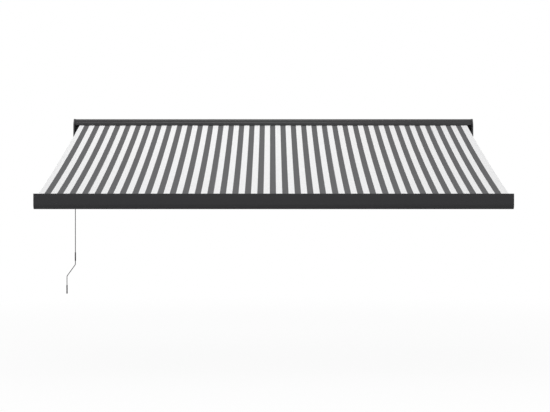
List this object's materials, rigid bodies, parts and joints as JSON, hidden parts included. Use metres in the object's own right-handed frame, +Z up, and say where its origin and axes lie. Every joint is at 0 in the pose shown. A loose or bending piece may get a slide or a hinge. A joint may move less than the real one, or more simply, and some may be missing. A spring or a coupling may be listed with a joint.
{
  "type": "folding-arm awning",
  "caption": "Crank-driven folding-arm awning: a full cassette with a roller, striped cloth, two sprung arms that fold, a front bar that closes it, and wall brackets.",
  "frame": {"origin": "on the middle wall bracket's back face, in the wall plane, on the bracket's upright middle line and 12 mm above the face's middle", "axes": "+Y into the wall, -Y out along the awning's reach, +X to the right as seen from the front, +Z up"},
  "size_m": [4.5975, 3.0547, 1.9773],
  "materials": {
    "cassette_paint": "fine matt powder coat",
    "arm_paint": "fine matt powder coat",
    "casting": "powder-coated casting",
    "moulding": "fine-grained moulded plastic",
    "steel": "plain drawn steel",
    "zinc": "zinc-plated steel",
    "rod_enamel": "smooth dark grey enamel",
    "cloth": "plain weave with even light and dark grey stripes across the width"
  },
  "bodies": {
    "cassette": {"cassette_back": "cassette_paint", "cassette_hood": "cassette_paint", "left_end_cap": "moulding", "right_end_cap": "moulding", "left_wall_bracket": "cassette_paint", "middle_wall_bracket": "cassette_paint", "right_wall_bracket": "cassette_paint", "left_bracket_bolt": "steel", "middle_bracket_bolt": "steel", "right_bracket_bolt": "steel", "gearbox_housing": "moulding", "idler_block": "moulding", "fabric_sheet": "cloth", "left_shoulder_bracket": "casting", "right_shoulder_bracket": "casting", "left_shoulder_pin": "steel", "right_shoulder_pin": "steel"},
    "roller": {"roller_tube": "zinc", "fabric_roll": "cloth", "left_roller_plug": "moulding", "right_roller_plug": "moulding", "gear_output_shaft": "steel"},
    "crank": {"crank_eye": "steel", "crank_rod": "rod_enamel", "upper_crank_grip": "moulding", "lower_crank_grip": "moulding"},
    "front_bar_body": {"front_bar": "cassette_paint", "left_bar_cap": "moulding", "right_bar_cap": "moulding", "left_wrist_bracket": "casting", "right_wrist_bracket": "casting", "left_wrist_pin": "steel", "right_wrist_pin": "steel"},
    "left_upper_arm": {"left_shoulder_knuckle": "casting", "left_upper_arm_tube": "arm_paint", "left_elbow_fork": "casting", "left_arm_spring": "steel", "left_pull_strap": "steel"},
    "left_forearm": {"left_elbow_tongue": "casting", "left_cam_band": "steel", "left_forearm_tube": "arm_paint", "left_wrist_knuckle": "casting", "left_elbow_pin": "steel"},
    "right_upper_arm": {"right_shoulder_knuckle": "casting", "right_upper_arm_tube": "arm_paint", "right_elbow_fork": "casting", "right_arm_spring": "steel", "right_pull_strap": "steel"},
    "right_forearm": {"right_elbow_tongue": "casting", "right_cam_band": "steel", "right_forearm_tube": "arm_paint", "right_wrist_knuckle": "casting", "right_elbow_pin": "steel"}
  },
  "joints": [
    {"name": "left_shoulder_fold", "type": "hinge", "parent": "cassette", "child": "left_upper_arm", "pos_m": [-1.97, -0.085, -0.048], "axis": [0, -0.2714, 0.9625], "range_deg": [0, 71.06], "deforming": ["fabric_sheet"]},
    {"name": "left_elbow_fold", "type": "hinge", "parent": "left_upper_arm", "child": "left_forearm", "pos_m": [-1.49371, -1.52484, -0.45408], "axis": [0, -0.2714, 0.9625], "range_deg": [-142.2, 0]},
    {"name": "left_wrist_fold", "type": "hinge", "parent": "left_forearm", "child": "front_bar_body", "pos_m": [-1.97, -2.96469, -0.86016], "axis": [0, -0.2714, 0.9625], "range_deg": [0, 71.1]},
    {"name": "right_shoulder_fold", "type": "hinge", "parent": "cassette", "child": "right_upper_arm", "pos_m": [1.97, -0.085, -0.048], "axis": [0, -0.2714, 0.9625], "range_deg": [-71.1, 0]},
    {"name": "right_elbow_fold", "type": "hinge", "parent": "right_upper_arm", "child": "right_forearm", "pos_m": [1.49371, -1.52484, -0.45408], "axis": [0, -0.2714, 0.9625], "range_deg": [0, 142.2]},
    {"name": "roller_spin", "type": "hinge", "parent": "cassette", "child": "roller", "pos_m": [0, -0.10197, 0.0285], "axis": [1, 0, 0], "continuous": true},
    {"name": "crank_spin", "type": "hinge", "parent": "cassette", "child": "crank", "pos_m": [-2.2325, -0.13197, -0.05], "axis": [0, 0, 1], "continuous": true}
  ],
  "couplings": [
    {"joint": "left_elbow_fold", "follows": "left_shoulder_fold", "ratio": -2},
    {"joint": "left_wrist_fold", "follows": "left_shoulder_fold", "ratio": 1},
    {"joint": "right_shoulder_fold", "follows": "left_shoulder_fold", "ratio": -1},
    {"joint": "right_elbow_fold", "follows": "left_shoulder_fold", "ratio": 2},
    {"joint": "crank_spin", "follows": "roller_spin", "ratio": 11}
  ]
}
